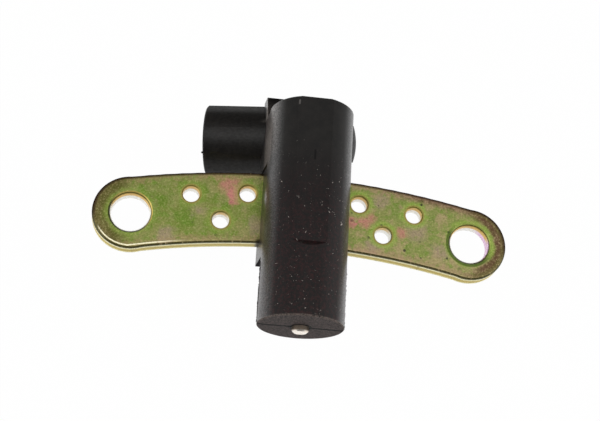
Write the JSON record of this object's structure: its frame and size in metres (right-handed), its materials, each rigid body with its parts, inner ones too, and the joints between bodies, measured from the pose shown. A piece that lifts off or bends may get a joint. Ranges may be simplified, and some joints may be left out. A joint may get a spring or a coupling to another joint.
{
  "type": "crankshaft position sensor",
  "caption": "Crankshaft position sensor: round moulded body with pole pin in its tip and a side connector collar, gripped on a curved steel bracket with fixing holes.",
  "frame": {"origin": "midway between the two fixing holes, on the bracket's mounting face", "axes": "+X along the bracket towards the end opposite the connector, +Y along the body away from the sensing tip, +Z off the mounting face towards the body"},
  "size_m": [0.0854, 0.0528, 0.0322],
  "materials": {
    "zinc_plated_steel": "yellow chromate over zinc",
    "black_moulding": "satin, moulded",
    "soft_iron": "cut and tumbled",
    "magnet_alloy": "ground",
    "bobbin_plastic": "moulded",
    "copper_winding": "enamelled wire",
    "terminal_brass": "stamped, tinned"
  },
  "bodies": {
    "root": {"bracket": "zinc_plated_steel", "housing": "black_moulding", "pole_pin": "soft_iron", "magnet": "magnet_alloy", "bobbin": "bobbin_plastic", "coil": "copper_winding", "terminal_upper": "terminal_brass", "terminal_lower": "terminal_brass"}
  },
  "joints": []
}
